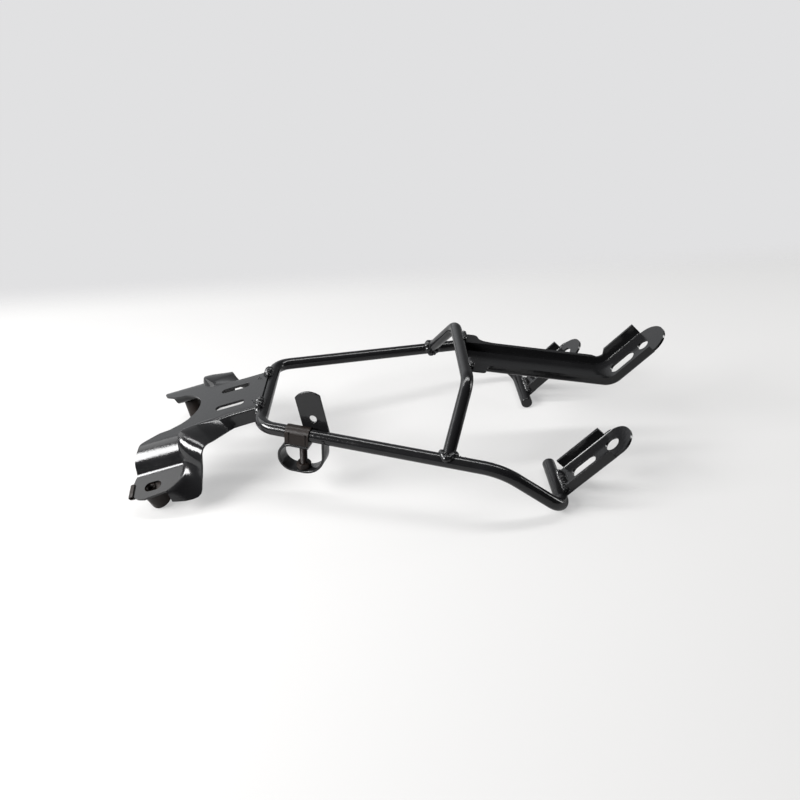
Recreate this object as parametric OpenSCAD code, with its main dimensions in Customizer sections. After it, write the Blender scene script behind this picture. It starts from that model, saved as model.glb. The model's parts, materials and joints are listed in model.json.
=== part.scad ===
// Rear carrier frame for a scooter: a bent rod hoop with a cross arch, a pressed neck plate with two
// wings and captive nuts at the front, three channel brackets at the tail and a clamp on the left rod.
// X runs to the rear, Y to the right and Z up. The frame rests on its two nuts and two hooks.

/* [Hoop rod] */
// Diameter of the main hoop rod
rod_d = 10; // [8:0.5:12]
// Distance from the front run back to the point where the side rods turn down
side_l = 178; // [160:1:200]
// Length over which the side rods drop to the hooks
drop_l = 47; // [42:1:56]
// Distance between the two side rods at the front run
front_w = 101; // [94:1:110]
// Distance between the two side rods where they turn down
rear_w = 208; // [196:1:222]
// Distance between the two hooks at their outer bends
hook_w = 213; // [202:1:222]
// Length of each hook, from its outer bend to its cut end
hook_l = 59; // [55:0.5:64]
// Height of the front run above the ground
front_z = 57.5; // [54:0.5:61]
// Height of the side rods where they turn down
rear_z = 41.5; // [37:0.5:46]
// Radius of the front bends, on the centre line
front_bend_r = 16; // [14:1:22]
// Radius of the downward bends, on the centre line
drop_bend_r = 45; // [32:1:50]
// Radius of the hook bends, on the centre line
hook_bend_r = 13; // [11:0.5:16]

/* [Cross arch] */
// Diameter of the cross arch rod
arch_d = 9.6; // [8:0.2:11]
// Distance from the front run to the feet of the arch
arch_foot_x = 140; // [130:1:150]
// Distance from the front run to the top bar of the arch
arch_top_x = 160; // [152:1:168]
// Height of the top bar of the arch
arch_top_z = 86; // [80:0.5:92]
// Length of the top bar of the arch, between the points where its legs turn down
arch_top_w = 99; // [90:1:108]
// Radius of the bends of the arch, on the centre line
arch_bend_r = 20; // [16:1:24]

/* [Neck plate] */
// Thickness of the pressed plate
plate_t = 2; // [1.5:0.1:2.5]
// Slope of the neck plate, rising to the rear
plate_slope = 14; // [12:0.5:16]
// Width of the neck over its folded sides
neck_w = 61; // [56:1:66]
// Length of the plate from the front run to the tips of its wings
plate_l = 103; // [100:0.5:107]
// Depth of the folded sides of the neck
flange_h = 12.5; // [9:0.5:14]
// Distance from the axis of the front run to the end of the plate
neck_gap = 2.5; // [2:0.1:3]
// Height of the top of the plate above the axis of the front run
plate_rise = 6.4; // [6:0.1:6.6]
// Radius of the throat between the two wings
throat_r = 29; // [27:0.5:30]
// Distance from the front run to the bottom of the throat
throat_x = 60; // [57:0.5:63]
// Length of the two long slots in the neck
neck_slot_l = 25; // [18:1:28]
// Width of the two long slots in the neck
neck_slot_w = 6.4; // [4:0.2:8]
// Distance between the middles of the two long slots
neck_slot_gap = 28; // [24:1:32]

/* [Wings] */
// Distance from the middle to the start of each wing's outer bend
wing_v = 39; // [37:0.5:41]
// Radius of the outer bend of each wing
wing_bend_r = 16; // [15:0.5:18]
// Slope of the wall of each wing, down from the plate
wing_wall_a = 70; // [64:1:76]
// Length of the flat wall of each wing
wing_wall_l = 5; // [3:0.5:7]
// Radius of the inner bend above each foot
foot_bend_r = 4; // [3:0.5:6]
// Slope of each foot, down and outward
foot_a = 16.5; // [12:0.5:20]
// Distance from the middle to the slot in each foot
foot_slot_v = 70; // [68:0.5:72]
// Distance from the front run to the slot in each foot
foot_slot_x = 92.5; // [91:0.5:93.5]
// Length of the slot in each foot
foot_slot_l = 14; // [12:0.5:16]
// Width of the slot in each foot
foot_slot_w = 8.6; // [8.5:0.1:9]
// Reach of the left foot in front of the tips of the wings
left_foot_reach = 7.5; // [6:0.5:9]
// Reach of the right foot in front of the tips of the wings
right_foot_reach = 0.5; // [0:0.5:3]

/* [Captive nuts] */
// Diameter of the bore in each captive nut
nut_bore_d = 6.8; // [5:0.1:8]
// Outer diameter of each captive nut
nut_d = 16; // [13:0.5:18]
// Thickness of the spring clip that holds each nut
clip_t = 1.2; // [0.8:0.1:1.5]
// Width of the spring clip, along the outside of the foot
clip_w = 12; // [11:0.5:18]

/* [Tail brackets] */
// Thickness of the channel sheet
sheet_t = 2; // [1.5:0.1:2.5]
// Slope of the three tail plates, rising to the rear
tail_a = 44; // [40:0.5:48]
// Outer width of the two side channels
side_channel_w = 32; // [30:0.5:34]
// Outer height of the two side channels
side_channel_h = 10; // [8:0.5:11]
// Distance between the middles of the two side channels
side_channel_gap = 152; // [146:1:156]
// Distance from a hook's axis to the end of the folded sides
side_flange_l = 51; // [46:0.5:54]
// Distance from a hook's axis to the centre of the round tip
side_tip_l = 55.5; // [54.5:0.5:58]
// Radius of the round tips of the side channels
side_tip_r = 14; // [12:0.5:14.5]
// Diameter of the hole in the round tip of each side channel
side_hole_d = 11.5; // [8:0.5:13]
// Length of the long slot in each side channel
side_slot_l = 22; // [18:1:24]
// Width of the long slots in the tail plates
tail_slot_w = 10.5; // [8:0.5:12]

/* [Centre channel] */
// Outer width of the centre channel
centre_w = 37; // [34:1:40]
// Outer height of the centre channel
centre_h = 8.6; // [7.6:0.2:10]
// Fall of the centre channel's arm to the rear
centre_fall = 11; // [8:0.5:14]
// Length of the arm, from the top bar to the point where it turns up
centre_arm_l = 123; // [116:1:130]
// Length of the folded sides of the tail, from the point where it turns up
centre_flange_l = 42; // [39:0.5:43]
// Distance from the point where it turns up to the centre of the round tip
centre_tip_l = 42; // [41.5:0.5:47]
// Radius of the round tip
centre_tip_r = 15.5; // [14:0.5:17]
// Outer radius of the bend where the channel turns up
centre_bend_r = 16; // [14:0.5:18]
// Width of the lips along the arm
lip_w = 2.6; // [2:0.2:4]
// Reach of each ear beyond the side of the channel
ear_reach = 14; // [11:0.5:16]
// Length of the ears along the arm
ear_l = 15; // [12:0.5:18]
// Diameter of the hole in the round tip
centre_hole_d = 9.5; // [7:0.5:12]
// Length of the long slot in the tail
centre_slot_l = 23; // [18:1:26]
// Outer height of the channel's tail
tail_h = 12; // [10:0.5:13]

/* [Rod clamp] */
// Distance from the front run to the clamp on the left rod
clamp_x = 31; // [29:1:60]
// Width of the clamp's strap, across the rod
strap_w = 12; // [10:0.5:14]
// Thickness of the clamp's strap
strap_t = 2; // [1.5:0.1:2.5]
// Height of the tab above the rod's axis
tab_h = 34; // [30:1:40]
// Width of the tab
tab_w = 20.5; // [17:0.5:22]
// Radius of the tab's rounded end
tab_end_r = 15; // [12:0.5:20]
// Lean of the tab, toward the front
tab_lean = 13; // [0:1:16]
// Diameter of the hole in the tab
tab_hole_d = 6; // [5:0.1:8]
// Height of the hole above the rod's axis
tab_hole_h = 11; // [10:0.5:16]
// Inner width of the hanging loop
loop_w = 34; // [30:0.5:36]
// Inner drop of the hanging loop below the rod
loop_drop = 25; // [21:0.5:27]
// Diameter of the clamp's bolt
clamp_bolt_d = 6; // [5:0.5:7]

/* [Hidden] */
$fn = 48;
LEFT = -1;
RIGHT = 1;
PAINT = [0.09, 0.09, 0.1];
ZINC = [0.3, 0.29, 0.28];
WELD = [0.14, 0.14, 0.15];
FAR = 400;                              // reach of the cutting blocks

rod_r = rod_d / 2;
hook_x = side_l + drop_l;

// The hoop's centre line from the left hook to the right one
front_corner = [0, front_w / 2, front_z];
side_corner = [side_l, rear_w / 2, rear_z];
hook_corner = [hook_x, hook_w / 2, rod_r];
hook_end = [hook_x, hook_w / 2 - hook_l, rod_r];
function on_left(p) = [p.x, -p.y, p.z];
function on_side(p, side) = [p.x, side * p.y, p.z];
hoop_half = [hook_end, hook_corner, side_corner, front_corner];
hoop_bends = [hook_bend_r, drop_bend_r, front_bend_r];

// A point of the side rod's straight part, at a distance behind the front run
function side_rod_at(x) = front_corner + (side_corner - front_corner) * x / side_l;
arch_foot = side_rod_at(arch_foot_x);
arch_corner = [arch_top_x, arch_top_w / 2, arch_top_z];

// Vector helpers
function unit(v) = v / norm(v);
function reversed(list) = [for (i = [len(list) - 1:-1:0]) list[i]];
function arc(centre, r, from, to, steps) =
    [for (i = [0:steps]) let (a = from + (to - from) * i / steps) centre + r * [cos(a), sin(a)]];

// A straight round bar between two points
module bar(from, to, d) {
    v = to - from;
    translate(from) rotate([0, acos(v.z / norm(v)), atan2(v.y, v.x)]) cylinder(d = d, h = norm(v));
}

// Places and directions along a path, with each inner point rounded by its own radius
function stations(path, radii) = let (last = len(path) - 1) concat(
    [[path[0], unit(path[1] - path[0])]],
    [for (i = [1:last - 1]) let (
        into = unit(path[i] - path[i - 1]),
        out = unit(path[i + 1] - path[i]),
        turn = acos(into * out),
        r = radii[i - 1],
        start = path[i] - into * r * tan(turn / 2),
        centre = path[i] + unit(out - into) * r / cos(turn / 2),
        spoke = unit(start - centre),
        steps = ceil(turn / BEND_STEP))
        for (k = [0:steps]) let (a = turn * k / steps)
            [centre + r * (cos(a) * spoke + sin(a) * into), cos(a) * into - sin(a) * spoke]],
    [[path[last], unit(path[last] - path[last - 1])]]);
BEND_STEP = 11;                         // degrees of bend between two rings of a rod
ROD_SIDES = 24;

// A round bar bent along a path that is never upright
module bent_bar(path, radii, d) {
    places = stations(path, radii);
    n = len(places);
    rings = [for (p = places) let (side = unit(cross(p[1], [0, 0, 1])), up = cross(side, p[1]))
        for (k = [0:ROD_SIDES - 1]) let (a = 360 * (k + 0.5) / ROD_SIDES)
            p[0] + d / 2 * (cos(a) * side + sin(a) * up)];
    walls = [for (i = [0:n - 2]) for (k = [0:ROD_SIDES - 1])
        let (a = i * ROD_SIDES + k, b = i * ROD_SIDES + (k + 1) % ROD_SIDES)
        each [[a, b, b + ROD_SIDES], [a, b + ROD_SIDES, a + ROD_SIDES]]];
    ends = [[for (k = [ROD_SIDES - 1:-1:0]) k], [for (k = [0:ROD_SIDES - 1]) (n - 1) * ROD_SIDES + k]];
    polyhedron(rings, concat(ends, walls));
}

// Outlines of the pressed plate. Its own frame lies on the plate: x runs back along the slope from the
// axis of the front run, v outward and w up from the plate's top face.
foot_dir = [cos(foot_a), -sin(foot_a)];
function out_normal(a) = [sin(a), cos(a)];
wall_top = [wing_v, -wing_bend_r] + wing_bend_r * out_normal(wing_wall_a);
wall_end = wall_top + wing_wall_l * [cos(wing_wall_a), -sin(wing_wall_a)];
foot_bend_c = wall_end + foot_bend_r * out_normal(wing_wall_a);
foot_start = foot_bend_c - foot_bend_r * out_normal(foot_a);
FOOT_END = 84;                          // the section runs past the foot's outline
function foot_point(v, off) =
    foot_start + (v - foot_start.x) / foot_dir.x * foot_dir - off * out_normal(foot_a);
// Section of the wing, at a depth below its top face
function wing_section(off) = concat(
    [[0, -off]],
    [for (a = [0:wing_wall_a / 6:wing_wall_a + 0.1])
        [wing_v, -wing_bend_r] + (wing_bend_r - off) * out_normal(a)],
    [for (a = [wing_wall_a:(foot_a - wing_wall_a) / 4:foot_a - 0.1])
        foot_bend_c - (foot_bend_r + off) * out_normal(a)],
    [foot_point(FOOT_END, off)]);
// Height of the top face at a distance from the middle
function wing_height(v) =
    v < wing_v ? 0
    : v < wall_top.x ? -wing_bend_r + sqrt(pow(wing_bend_r, 2) - pow(v - wing_v, 2))
    : v < wall_end.x ? wall_top.y - (v - wall_top.x) * tan(wing_wall_a)
    : v < foot_start.x ? foot_bend_c.y - sqrt(pow(foot_bend_r, 2) - pow(foot_bend_c.x - v, 2))
    : foot_start.y - (v - foot_start.x) * tan(foot_a);

root_x = -65;                           // rear edge of the wing
root_fillet = 20;                       // plan radius between neck and wing
foot_tip_v = 80;                        // outer end of the foot
function foot_reach(side) = side == LEFT ? left_foot_reach : right_foot_reach;
function foot_front(side) = -plate_l - foot_reach(side);    // front edge of a foot
throat_c = [-throat_x - throat_r, 0];
neck_v = neck_w / 2;

// The plate's own frame
module plate_frame() {
    translate([0, 0, front_z + plate_rise]) rotate([0, -plate_slope, 0]) children();
}

// One half of the plate seen from above
module half_plan(side) {
    difference() {
        union() {
            translate([root_x - 1, 0]) square([-root_x + 1 - neck_gap, neck_v]);
            translate([root_x, neck_v - 1]) difference() {
                square([root_fillet, root_fillet + 1]);
                translate([root_fillet, root_fillet + 1]) circle(root_fillet);
            }
            polygon(concat(
                [[root_x, 0], [root_x, 66]],
                arc([root_x - 16, 64], 16, 8, 90, 6),
                arc([foot_front(side) + 12, 68], 12, 90, 180, 6),
                [[-plate_l - foot_reach(side) / 2, 54], [-plate_l, 45]],
                arc([-plate_l + 8, 42], 8, 180, 250, 5),
                [[throat_c.x, throat_r], [throat_c.x, 0]]));
        }
        translate(throat_c) circle(throat_r);
        translate([throat_c.x - FAR, -1]) square([FAR, throat_r + 1]);
    }
}

// Stations of the flared skirt behind each wing: where it leaves the plate, and its lower rim
skirt_fold = [[-12, neck_v - 0.3], [-25, neck_v - 0.3], [-38, neck_v - 0.3], [-50, 30.4], [-55.3, 32.6],
              [-60.3, 36.7], [-63.6, 42], [-65.3, 49], [-65.8, 58], [-65.8, 65], [-69, 71.4],
              [-74, 76.2], [-80, 78]];
skirt_rim = [[-12, neck_v, -flange_h], [-24, neck_v + 0.5, -flange_h], [-31, 36, -10.5],
             [-38, 47.5, -9], [-42, 55, -7.5], [-45, 60.5, -6.5], [-47.3, 64.5, -7.5], [-49, 67.3, -12],
             [-51.2, 69.5, -19], [-54.5, 72, -27.5], [-58.5, 76, -36.5], [-68, 79, -36.5], [-79, 80.5, -33]];

SINK = 0.4;                             // the skirt starts this far below the plate's top face

// A sheet strip between two lines of stations, with its thickness on its inner side
module strip(top, rim, t) {
    n = len(top);
    function along(list, i) = list[min(i + 1, n - 1)] - list[max(i - 1, 0)];
    inward = [for (i = [0:n - 1]) t * unit(cross(along(top, i) + along(rim, i), rim[i] - top[i]))];
    rings = [for (i = [0:n - 1]) each [top[i], rim[i], rim[i] + inward[i], top[i] + inward[i]]];
    sides = [for (i = [0:n - 2]) for (k = [0:3])
        let (a = 4 * i + k, b = 4 * i + (k + 1) % 4)
        each [[a, b + 4, b], [a, a + 4, b + 4]]];
    polyhedron(rings, concat([[0, 1, 2, 3], [for (k = [3:-1:0]) 4 * (n - 1) + k]], sides));
}

// The skirt of one half of the plate
module skirt() {
    strip([for (p = skirt_fold) [p.x, p.y, wing_height(p.y) - SINK]], skirt_rim, plate_t);
}

module slot(l, w, h) {
    for (s = [-1, 1]) translate([s * (l - w) / 2, 0, 0]) cylinder(d = w, h = h, center = true);
    cube([l - w, w, h], center = true);
}

// Turns the plate's frame so that z stands square on a foot, with the foot's slot at the origin
module foot_frame(side) {
    p = foot_point(foot_slot_v, 0);
    plate_frame() translate([-foot_slot_x, side * p.x, p.y]) rotate([-side * foot_a, 0, 0]) children();
}

module neck_plate() {
    color(PAINT) difference() {
        plate_frame() for (side = [LEFT, RIGHT]) mirror([0, side == LEFT ? 1 : 0, 0]) {
            intersection() {
                translate([0, 0, -FAR / 2]) linear_extrude(FAR) half_plan(side);
                translate([-FAR / 2, 0, 0]) rotate([90, 0, 90]) linear_extrude(FAR)
                    polygon(concat(wing_section(0), reversed(wing_section(plate_t))));
            }
            translate([-neck_end, neck_v - plate_t, -flange_h])
                cube([neck_end - neck_gap - 1, plate_t, flange_h]);
            skirt();
        }
        bar([0, -FAR, front_z], [0, FAR, front_z], rod_d);
        plate_frame() for (side = [LEFT, RIGHT])
            translate([-neck_slot_x, side * neck_slot_gap / 2, 0])
                slot(neck_slot_l, neck_slot_w, 3 * plate_t);
        for (side = [LEFT, RIGHT]) foot_frame(side) slot(foot_slot_l, foot_slot_w, 3 * plate_t);
    }
}
neck_end = 41;                          // length of the straight folded sides
neck_slot_x = 30.5;                     // from the front run to the middle of the slots

// Captive nut and clip: the nut reaches from the clip down to the ground
nut_shift = (foot_slot_l - foot_slot_w) / 2;    // the nut sits at the front end of the slot
nut_cos = cos(foot_a) * cos(plate_slope);
nut_z = front_z + plate_rise - (foot_slot_x + nut_shift) * sin(plate_slope)
    + foot_point(foot_slot_v, 0).y * cos(plate_slope);
nut_depth = (nut_z - nut_d / 2 * sqrt(1 - pow(nut_cos, 2))) / nut_cos;
nut_top = plate_t + clip_t;

module captive_nut(side) {
    color(ZINC) foot_frame(side) translate([-nut_shift, 0, 0]) difference() {
        union() {
            translate([0, 0, -nut_depth]) cylinder(d = nut_d, h = nut_depth - nut_top);
            translate([0, 0, -nut_top]) cylinder(d = nut_neck_d, h = nut_top);
        }
        translate([0, 0, -nut_depth - 1]) cylinder(d = nut_bore_d, h = nut_depth + 2);
    }
}
nut_neck_d = nut_bore_d + 1.6;          // the collar that is spread into the clip and the slot

clip_gap = 1.5;                         // play between the clip's fold and the foot's front edge
clip_back = 5;                          // reach of the clip behind the slot's middle
clip_lip = clip_gap + 1.5;              // the part of the clip that grips the foot's top face
module spring_clip(side) {
    clip_front = foot_front(side) + foot_slot_x - clip_gap;
    color(ZINC) foot_frame(side) difference() {
        translate([clip_front - clip_t, -clip_w / 2, -plate_t - clip_t])
            difference() {
                cube([-clip_front + clip_t + clip_back, clip_w, plate_t + 2 * clip_t]);
                translate([clip_t, -1, clip_t]) cube([FAR, clip_w + 2, plate_t]);
                translate([clip_t + clip_lip, -1, clip_t]) cube([FAR, clip_w + 2, FAR]);
            }
        translate([-nut_shift, 0, 0]) cylinder(d = nut_neck_d, h = FAR, center = true);
    }
}

// Tail channels: x runs along the plate, y across it and z up from the underside of the web
module channel_outline(w, h, r) {
    for (s = [-1, 1]) translate([s * (w / 2 - r), r]) circle(r);
    translate([r - w / 2, 0]) square([w - 2 * r, h]);
    translate([-w / 2, r]) square([w, h - r]);
}

module channel_section(w, h) {
    difference() {
        channel_outline(w, h, fold_r);
        translate([0, sheet_t]) channel_outline(w - 2 * sheet_t, h, fold_r - sheet_t);
    }
}
fold_r = 3;                             // outer radius of the folds

module along_x(l) {
    rotate([90, 0, 90]) linear_extrude(l) children();
}

side_web_w = 4;                         // the web's underside lies this far below the hook's axis
side_flange_x = 10;                     // where the folded sides begin
module side_frame(side) {
    translate([hook_x, side * side_channel_gap / 2, rod_r]) rotate([0, -tail_a, 0])
        translate([0, 0, -side_web_w]) children();
}

module tail_bracket(side) {
    color(PAINT) difference() {
        side_frame(side) difference() {
            union() {
                translate([side_flange_x, 0, 0]) along_x(side_flange_l - side_flange_x)
                    channel_section(side_channel_w, side_channel_h);
                for (reach = [[0, side_flange_x + 1], [side_flange_l - 1, side_tip_l]])
                    translate([reach[0], -side_tip_r, 0])
                        cube([reach[1] - reach[0], 2 * side_tip_r, sheet_t]);
                translate([side_tip_l, 0, 0]) cylinder(r = side_tip_r, h = sheet_t);
            }
            translate([side_tip_l - 2.5, 0, 0]) cylinder(d = side_hole_d, h = 3 * sheet_t, center = true);
            translate([side_slot_x, 0, 0]) slot(side_slot_l, tail_slot_w, 3 * sheet_t);
        }
        bar([hook_x, -FAR, rod_r], [hook_x, FAR, rod_r], rod_d);
    }
}
side_slot_x = 26;                       // from the hook's axis to the middle of the long slot

// The centre channel turns up about an axis that lies above its web
centre_turn = centre_fall + tail_a;
centre_trim = centre_bend_r * tan(centre_turn / 2);
centre_start = [arch_top_x, 0, arch_top_z - centre_h + 1];
module centre_arm_frame() {
    translate(centre_start) rotate([0, centre_fall, 0]) children();
}

module centre_tail_frame() {
    centre_arm_frame() translate([centre_arm_l, 0, 0]) rotate([0, -centre_turn, 0]) children();
}

module ears() {
    for (side = [0, 1]) mirror([0, side, 0]) translate([0, centre_w / 2 - sheet_t, centre_h - sheet_t])
        linear_extrude(sheet_t) polygon(concat(
            [[0, 0], [0, ear_reach + sheet_t]],
            arc([ear_l - 3, ear_reach + sheet_t - 3], 3, 90, 0, 4),
            arc([ear_l + 12, ear_reach + sheet_t - 4], 12, 180, 245, 6),
            [[ear_l + 20, sheet_t], [ear_l + 20, 0]]));
}

// Side view of the channel at a height above its underside, from the top bar to a place on the tail
function on_tail(x, h) = [centre_arm_l, 0]
    + x * [cos(centre_turn), sin(centre_turn)] + h * [-sin(centre_turn), cos(centre_turn)];
function centre_line(h, end) = concat(
    [[0, h]],
    arc([centre_arm_l - centre_trim, centre_bend_r], centre_bend_r - h, -90, centre_turn - 90, 9),
    [on_tail(end, h)]);

// Top edge of the walls, which rise to the height of the tail behind the bend
function wall_top_line(end) = concat(
    [for (i = [0:10]) centre_line(centre_h, end)[i]],
    [on_tail(centre_trim + 4, tail_h), on_tail(end, tail_h)]);

// A bent layer of the channel between two heights, from y to y + w
module centre_layer(low, high, end, y, w) {
    translate([0, y + w, 0]) rotate([90, 0, 0]) linear_extrude(w)
        polygon(concat(centre_line(low, end), reversed(centre_line(high, end))));
}

module centre_channel() {
    tip_end = centre_tip_l + centre_tip_r;
    color(PAINT) difference() {
        centre_arm_frame() {
            centre_layer(0, sheet_t, tip_end + 1, -centre_w / 2, centre_w);
            for (y = [-centre_w / 2, centre_w / 2 - sheet_t])
                translate([0, y + sheet_t, 0]) rotate([90, 0, 0]) linear_extrude(sheet_t)
                    polygon(concat(centre_line(0, centre_flange_l), reversed(wall_top_line(centre_flange_l))));
            for (side = [0, 1]) mirror([0, side, 0])
                translate([0, centre_w / 2 - sheet_t, centre_h - sheet_t])
                    cube([centre_arm_l - centre_trim, sheet_t + lip_w, sheet_t]);
            ears();
        }
        centre_tail_frame() {
            linear_extrude(FAR, center = true) difference() {
                translate([centre_flange_l, -centre_w]) square([centre_w, 2 * centre_w]);
                translate([centre_flange_l - 1, -centre_tip_r])
                    square([centre_tip_l - centre_flange_l + 1, 2 * centre_tip_r]);
                translate([centre_tip_l, 0]) circle(centre_tip_r);
            }
            translate([centre_tip_l - 4, 0, 0]) cylinder(d = centre_hole_d, h = 3 * sheet_t, center = true);
            translate([centre_slot_x, 0, 0]) slot(centre_slot_l, tail_slot_w, 3 * sheet_t);
        }
        bar([arch_top_x, -FAR, arch_top_z], [arch_top_x, FAR, arch_top_z], arch_d);
    }
}
centre_slot_x = 17;                     // from the turn to the middle of the tail's long slot

module hoop_rod() {
    color(PAINT) bent_bar(concat([for (p = hoop_half) on_left(p)], reversed(hoop_half)),
        concat(hoop_bends, reversed(hoop_bends)), rod_d);
}

module arch_bar() {
    bent_bar([on_left(arch_foot), on_left(arch_corner), arch_corner, arch_foot],
        [arch_bend_r, arch_bend_r], arch_d);
}

module side_bar(side) {
    bar(on_side(front_corner, side), on_side(side_corner, side), rod_d);
}

module cross_arch() {
    color(PAINT) difference() {
        arch_bar();
        for (side = [LEFT, RIGHT]) side_bar(side);
    }
}

// The clamp's frame lies on the left rod: x runs back along the rod and z up
module clamp_frame() {
    v = side_corner - front_corner;
    translate(on_left(side_rod_at(clamp_x)))
        rotate([0, -atan2(v.z, norm([v.x, v.y])), 0]) rotate([0, 0, -atan2(v.y, v.x)]) children();
}

saddle_l = 19;                          // length of the saddle along the rod
saddle_t = 1.2;                         // thickness of the saddle
saddle_drop = rod_r + 2.4;              // from the rod's axis to the underside of the saddle
module clamp_saddle() {
    color(ZINC) clamp_frame() translate([-saddle_l / 2, 0, 0]) along_x(saddle_l) difference() {
        union() {
            circle(rod_r + saddle_t);
            translate([-rod_r - saddle_t, -saddle_drop]) square([rod_d + 2 * saddle_t, saddle_drop]);
        }
        circle(rod_r);
    }
}

tab_x = 11.5;                           // the tab stands this far behind the middle of the clamp
module clamp_tab() {
    color(PAINT) clamp_frame() translate([tab_x, rod_r + saddle_t + strap_t, 0])
        rotate([90, -tab_lean, 0]) linear_extrude(strap_t) difference() {
            intersection() {
                translate([-tab_w / 2, -saddle_drop]) square([tab_w, tab_h + saddle_drop]);
                union() {
                    translate([-tab_w, -saddle_drop]) square([2 * tab_w, tab_h + saddle_drop - tab_end_r]);
                    translate([0, tab_h - tab_end_r]) circle(tab_end_r);
                }
            }
            translate([0, tab_hole_h]) circle(d = tab_hole_d);
        }
}

loop_r = 9.5;                           // inner radius of the loop's corners
loop_x = 3;                             // the loop's middle lies this far behind the middle of the clamp
loop_end = 6;                           // reach of the loop's upper strip behind its middle
loop_top = saddle_drop + strap_t;       // from the rod's axis to the inner face of the upper strip
loop_bottom = rod_r + loop_drop;        // from the rod's axis to the inner face of the lower strip

// Side view of the loop, grown outward from its inner face
module loop_outline(grow) {
    for (p = [[loop_r - loop_w / 2, -loop_top - loop_r], [loop_r - loop_w / 2, loop_r - loop_bottom],
              [loop_w / 2 - loop_r, loop_r - loop_bottom]])
        translate(p) circle(loop_r + grow);
    translate([loop_r - loop_w / 2, -loop_bottom - grow])
        square([loop_w - 2 * loop_r, loop_bottom - loop_top + 2 * grow]);
    translate([-loop_w / 2 - grow, loop_r - loop_bottom])
        square([loop_w + 2 * grow, loop_bottom - loop_top - 2 * loop_r]);
    translate([loop_end, loop_r - loop_bottom]) square([loop_w / 2 + grow - loop_end, loop_bottom - loop_r]);
}

module clamp_loop() {
    color(PAINT) difference() {
        clamp_frame() translate([loop_x, strap_w / 2, 0]) rotate([90, 0, 0]) linear_extrude(strap_w)
            difference() {
                loop_outline(strap_t);
                loop_outline(0);
            }
        side_bar(LEFT);
        clamp_frame() translate([loop_x, 0, -loop_bottom - 2 * strap_t])
            cylinder(d = clamp_bolt_d, h = loop_bottom + 2 * strap_t);
    }
}

module clamp_bolt() {
    color(ZINC) clamp_frame() translate([loop_x, 0, -loop_bottom - strap_t])
        cylinder(d = clamp_bolt_d, h = loop_bottom + strap_t - saddle_drop);
}

nut_flats = 10;                         // across the flats of the clamp's nut
module clamp_nut() {
    color(ZINC) clamp_frame() translate([loop_x, 0, -loop_bottom]) difference() {
        cylinder(d = nut_flats / cos(30), h = 5, $fn = 6);
        translate([0, 0, -1]) cylinder(d = clamp_bolt_d, h = 7);
    }
}

// Weld metal, cut to the faces that it joins
weld_r = 3;
module neck_weld(side) {
    color(WELD) difference() {
        plate_frame() translate([-neck_gap - 1, side * (neck_v - 5) - 5.5, 0.2]) rotate([-90, 0, 0])
            cylinder(r = weld_r, h = 11);
        plate_frame() translate([-neck_end, -neck_v, -flange_h]) cube([neck_end, neck_w, flange_h]);
        bar([0, -FAR, front_z], [0, FAR, front_z], rod_d);
    }
}

module arch_weld(side) {
    foot = on_side(arch_foot, side);
    corner = on_side(arch_corner, side);
    v = corner - foot;
    color(WELD) difference() {
        translate(foot) rotate([0, acos(v.z / norm(v)), atan2(v.y, v.x)])
            cylinder(d1 = arch_d + 6, d2 = arch_d, h = rod_r + 7);
        bar(foot, corner, arch_d);
        side_bar(side);
    }
}

module ear_weld(side) {
    color(WELD) difference() {
        translate([arch_top_x + arch_d / 2, side * (centre_w + ear_reach) / 2 - ear_reach / 2,
                   arch_top_z + 1.5])
            rotate([-90, 0, 0]) cylinder(r = weld_r, h = ear_reach);
        bar([arch_top_x, -FAR, arch_top_z], [arch_top_x, FAR, arch_top_z], arch_d);
        centre_arm_frame() translate([0, -FAR / 2, 0]) cube([FAR, FAR, centre_h]);
    }
}

module bracket_weld(side) {
    color(WELD) difference() {
        side_frame(side) translate([5.5, -side_tip_r, side_web_w]) rotate([-90, 0, 0])
            cylinder(r = weld_r, h = 2 * side_tip_r);
        side_frame(side) translate([0, -side_channel_w, -FAR + sheet_t]) cube([FAR, 2 * side_channel_w, FAR]);
        bar([hook_x, -FAR, rod_r], [hook_x, FAR, rod_r], rod_d);
    }
}

// The part stands with the middle of its length over the origin
front_reach = (foot_front(LEFT) - clip_gap - clip_t) * cos(plate_slope)
    - (foot_point(foot_slot_v, 0).y + clip_w / 2 * sin(foot_a) + clip_t * cos(foot_a)) * sin(plate_slope);
rear_reach = arch_top_x + centre_arm_l * cos(centre_fall) + (centre_tip_l + centre_tip_r) * cos(tail_a);
translate([-(front_reach + rear_reach) / 2, 0, 0]) {
    hoop_rod();
    cross_arch();
    neck_plate();
    spring_clip(LEFT);  // left_spring_clip
    spring_clip(RIGHT);  // right_spring_clip
    captive_nut(LEFT);  // left_captive_nut
    captive_nut(RIGHT);  // right_captive_nut
    centre_channel();
    tail_bracket(LEFT);  // left_tail_bracket
    tail_bracket(RIGHT);  // right_tail_bracket
    clamp_saddle();
    clamp_tab();
    clamp_loop();
    clamp_bolt();
    clamp_nut();
    neck_weld(LEFT);  // left_neck_weld
    neck_weld(RIGHT);  // right_neck_weld
    arch_weld(LEFT);  // left_arch_weld
    arch_weld(RIGHT);  // right_arch_weld
    ear_weld(LEFT);  // left_ear_weld
    ear_weld(RIGHT);  // right_ear_weld
    bracket_weld(LEFT);  // left_bracket_weld
    bracket_weld(RIGHT);  // right_bracket_weld
}
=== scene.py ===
import json, math
import bmesh, bpy
from mathutils import Matrix, Vector, noise


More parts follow.
